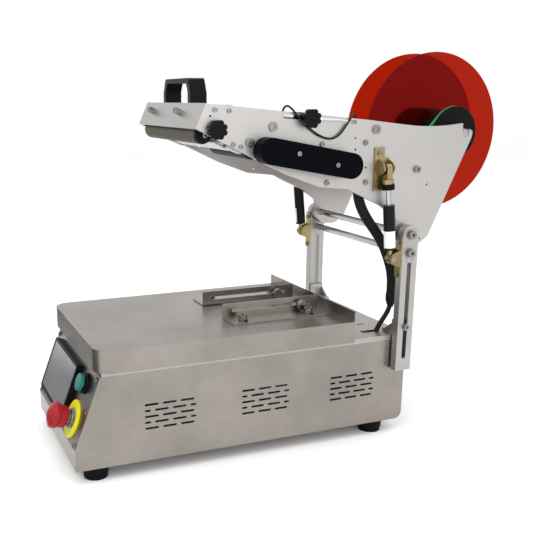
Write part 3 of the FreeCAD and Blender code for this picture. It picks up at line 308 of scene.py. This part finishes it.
def zone(name, measure, start, end, slot):
    """Gives the faces of a node whose middles measure between two limits another finish."""
    target = NODES[name]
    target.data.materials.append(MATERIALS[slot])
    index = len(target.data.materials) - 1
    for polygon in target.data.polygons:
        middle = target.matrix_world @ polygon.center
        if start < measure(middle) < end:
            polygon.material_index = index


for side in ("near", "far"):
    zone("gas_tube_" + side, along_spring, -20, TUBE_FITTING_TOP, "yellow_zinc")
    zone("gas_rod_" + side, along_spring, *ROD_COLLAR, "foot_rubber")
    zone("gas_rod_" + side, along_spring, ROD_COLLAR[1], 170, "yellow_zinc")
zone("lower_spring_brackets", across, PIN_HEAD_NEAR, 170, "screw_steel")
zone("upper_spring_brackets", beside_pin, *PIN_HEAD_BESIDE, "screw_steel")
zone("estop_collar", out_of_panel, RING_FACE, 30, "screw_steel")
zone("estop_button", out_of_panel, -20, BUTTON_CAP, "screw_steel")
zone("application_roller", across, ROLLER_CAP, 130, "knob_plastic")


def soften(names, width, smooth=False):
    """Rounds the sharp edges of these nodes for highlights, without changing their meshes."""
    for name in names:
        target = NODES[name]
        weld = target.modifiers.new("weld", "WELD")
        weld.merge_threshold = 0.00001
        bevel = target.modifiers.new("bevel", "BEVEL")
        bevel.width = width
        bevel.segments = 2
        bevel.limit_method = "ANGLE"
        bevel.angle_limit = math.radians(40)
        if smooth:
            even = target.modifiers.new("even", "WEIGHTED_NORMAL")
            even.keep_sharp = True
        for polygon in target.data.polygons:
            polygon.use_smooth = smooth


soften(("arm_plate_near", "arm_plate_far", "post_near", "post_far", "front_plate", "top_plate"), 0.0006)
soften(("handle",), 0.0022, smooth=True)
soften(("belt_cover",), 0.0012, smooth=True)
soften(("touch_screen",), 0.001)


# ---------------------------------------------------------------- pieces


def link(piece, body, slot, material=None):
    """Links a new piece, gives it its finish and lets it ride on a body."""
    if piece.name not in bpy.context.scene.collection.objects:
        bpy.context.scene.collection.objects.link(piece)
    piece.data.materials.append(material or MATERIALS[slot])
    if body:
        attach(piece, body)
    return piece


def spline(name, route, radius, order=3):
    """A smooth curve through the neighbourhood of the route's points."""
    data = bpy.data.curves.new(name, "CURVE")
    data.dimensions = "3D"
    data.resolution_u = 16
    data.bevel_resolution = 6
    data.bevel_depth = radius
    data.use_fill_caps = True
    line = data.splines.new("NURBS")
    line.points.add(len(route) - 1)
    for point, place in zip(line.points, route):
        point.co = (*place, 1)
    line.order_u = order
    line.use_endpoint_u = True
    return bpy.data.objects.new(name, data)


def centreline(route):
    """Points along the route's spline, read from the curve itself."""
    curve = spline("centreline", route, 0)
    curve.data.use_fill_caps = False
    mesh = bpy.data.meshes.new_from_object(curve)
    points = [v.co.copy() for v in mesh.vertices]
    bpy.data.objects.remove(curve)
    bpy.data.meshes.remove(mesh)
    return points


def tube(name, route, radius):
    """A mesh tube along the route's spline, and the points that it follows."""
    curve = spline(name + "_curve", route, radius)
    mesh = bpy.data.meshes.new_from_object(curve)
    bpy.data.objects.remove(curve)
    for polygon in mesh.polygons:
        polygon.use_smooth = True
    mesh.name = name
    return bpy.data.objects.new(name, mesh), centreline(route)


# The harness runs from the drive motor's plug down to the slot in the lid.
SLEEVE_ROUTE = [
    at(112, 468, 399), at(112, 468, 384), at(112, 474, 361), at(112, 488, 338), at(112, 505, 318),
    at(112, 520, 297), at(112, 531, 274), at(111.5, 540, 250), at(110.5, 543.5, 225), at(110, 543, 203),
]
LEAD_ROUTE = [
    at(110, 543, 202.95), at(109.7, 542.7, 190), at(109.5, 537, 178), at(108.5, 528.5, 165.5),
    at(107.5, 521, 152.5), at(107, 515.5, 140),
]
WIRE_ROUTE = [
    at(118, 330, 497), at(121, 330.5, 507), at(128.5, 333, 514), at(135.6, 338, 509.5), at(135.6, 347, 499),
    at(135.6, 358, 489), at(135.6, 371, 478), at(135.6, 387, 468.5), at(135.6, 404, 464),
    at(135.6, 418, 469.5), at(135.6, 428, 482), at(135.2, 436.5, 494), at(129, 446, 501.5),
    at(121, 452.5, 496), at(119.5, 455, 487),
]


def turned_piece(name, profile, place, turn, sides=40):
    """A turned piece: (radius, height) corners in millimetres round the turned Z axis."""
    rings, faces = [], []
    for radius, height in profile:
        for i in range(sides):
            a = 2 * math.pi * i / sides
            rings.append((radius * math.cos(a) / 1000, radius * math.sin(a) / 1000, height / 1000))
    for level in range(len(profile) - 1):
        for i in range(sides):
            j = (i + 1) % sides
            a, b = level * sides, (level + 1) * sides
            faces.append((a + i, a + j, b + j, b + i))
    faces.append(tuple(range(sides))[::-1])
    last = (len(profile) - 1) * sides
    faces.append(tuple(range(last, last + sides)))
    mesh = bpy.data.meshes.new(name)
    mesh.from_pydata(rings, [], faces)
    mesh.transform(Matrix.Translation(place) @ turn)
    for polygon in mesh.polygons:
        polygon.use_smooth = len(polygon.vertices) == 4
    return bpy.data.objects.new(name, mesh)


def harness():
    sleeve, path = tube("harness_sleeving", SLEEVE_ROUTE, 0.008)
    link(sleeve, None, "sleeve_braid")
    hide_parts("harness_sleeve")
    boot = turned_piece("sleeve_boot", ((8.3, 9), (8.5, 7), (8.4, -2), (6.5, -8), (4.6, -13), (4.3, -14)),
                        SLEEVE_ROUTE[-1], Matrix.Identity(4))
    link(boot, "mast", "lead_jacket")
    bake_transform(sleeve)

    lead, path = tube("harness_wires", LEAD_ROUTE, 0.004)
    link(lead, None, "lead_jacket")
    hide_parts("harness_lead")
    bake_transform(lead)

    wire = spline("sensor_wire", WIRE_ROUTE, 0.0015)
    link(wire, "head", "wire_jacket")
    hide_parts("sensor_cable")


harness()


def round_belt():
    """The round belt in the pulleys' grooves: two straight runs and two arcs."""
    small, big = BRAKE_PULLEY, REEL_PULLEY
    run = math.hypot(big[0] - small[0], big[1] - small[1])
    along = math.atan2(big[1] - small[1], big[0] - small[0])
    lean = math.acos((small[2] - big[2]) / run)
    points = []
    steps = 40
    round_big = (big, along + lean, along - lean)
    round_small = (small, along - lean, along + lean - 2 * math.pi)
    for (y, z, radius), start, end in (round_big, round_small):
        for i in range(steps + 1):
            a = start + (end - start) * i / steps
            points.append(at(BELT_X, y + radius * math.cos(a), z + radius * math.sin(a)))
    data = bpy.data.curves.new("green_belt", "CURVE")
    data.dimensions = "3D"
    data.bevel_depth = 0.0024
    data.bevel_resolution = 6
    line = data.splines.new("POLY")
    line.points.add(len(points) - 1)
    for point, place in zip(line.points, points):
        point.co = (*place, 1)
    line.use_cyclic_u = True
    belt = link(bpy.data.objects.new("green_belt", data), "head", "green_cord")
    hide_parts("brake_belt")


round_belt()


def spring_labels():
    """Blank white stickers round the lower half of each gas spring's tube."""
    lean = Matrix.Rotation(SPRING_LEAN, 4, "X")
    radius, half_wrap = 0.00908, 78
    for name, x, facing in (("near", SPRING_OUT, -45), ("far", -SPRING_OUT, 210)):
        corners, faces, steps = [], [], 24
        for height in LABEL_SPAN:
            for i in range(steps + 1):
                a = math.radians(facing + half_wrap * (2 * i / steps - 1))
                corners.append((radius * math.cos(a), radius * math.sin(a), height / 1000))
        for i in range(steps):
            faces.append((i, i + 1, i + steps + 2, i + steps + 1))
        mesh = bpy.data.meshes.new("spring_label_" + name)
        mesh.from_pydata(corners, [], faces)
        mesh.transform(Matrix.Translation(at(x, *LOWER_PIN)) @ lean)
        for polygon in mesh.polygons:
            polygon.use_smooth = True
        label = bpy.data.objects.new("spring_label_" + name, mesh)
        link(label, "spring_tube_" + name, None, PAPER)


spring_labels()


def stage():
    """A pale floor, soft lights and a dark card that the front panel reflects."""
    bpy.ops.mesh.primitive_plane_add(size=14, location=(0, 0, 0))
    floor = bpy.context.object
    floor.name = "floor"
    material, tree = node_tree("floor_paint")
    output(tree, principled(tree, (0.98, 0.98, 0.98), 0.9, specular=0.0))
    floor.data.materials.append(material)

    bpy.ops.mesh.primitive_plane_add(size=1, location=(-0.50, -0.9015, 0.003))
    card = bpy.context.object
    card.name = "dark_card"
    card.scale = (1.3, 0.9, 1)
    card.rotation_euler.z = math.radians(-6.35)
    material, tree = node_tree("card_paint")
    output(tree, principled(tree, (0.12, 0.12, 0.12), 0.9, specular=0.0))
    card.data.materials.append(material)

    world = bpy.data.worlds.new("world")
    bpy.context.scene.world = world
    world.use_nodes = True
    background = world.node_tree.nodes["Background"]
    background.inputs["Color"].default_value = (1.0, 1.0, 1.0, 1)
    background.inputs["Strength"].default_value = 1.0
    bpy.context.scene.view_settings.view_transform = "Standard"

    def area(name, place, target, size, power):
        data = bpy.data.lights.new(name, "AREA")
        data.shape = "RECTANGLE"
        data.size, data.size_y = size
        data.energy = power
        lamp = bpy.data.objects.new(name, data)
        lamp.location = place
        lamp.rotation_euler = (Vector(target) - Vector(place)).to_track_quat("-Z", "Y").to_euler()
        bpy.context.scene.collection.objects.link(lamp)

    area("key", (1.2, -1.6, 2.0), (0, 0, 0.2), (1.6, 1.2), 26)
    area("fill", (2.4, 0.6, 1.2), (0, 0.1, 0.3), (1.5, 1.5), 10)
    area("top", (0.0, 0.3, 2.4), (0, 0, 0), (2.0, 2.0), 16)


stage()
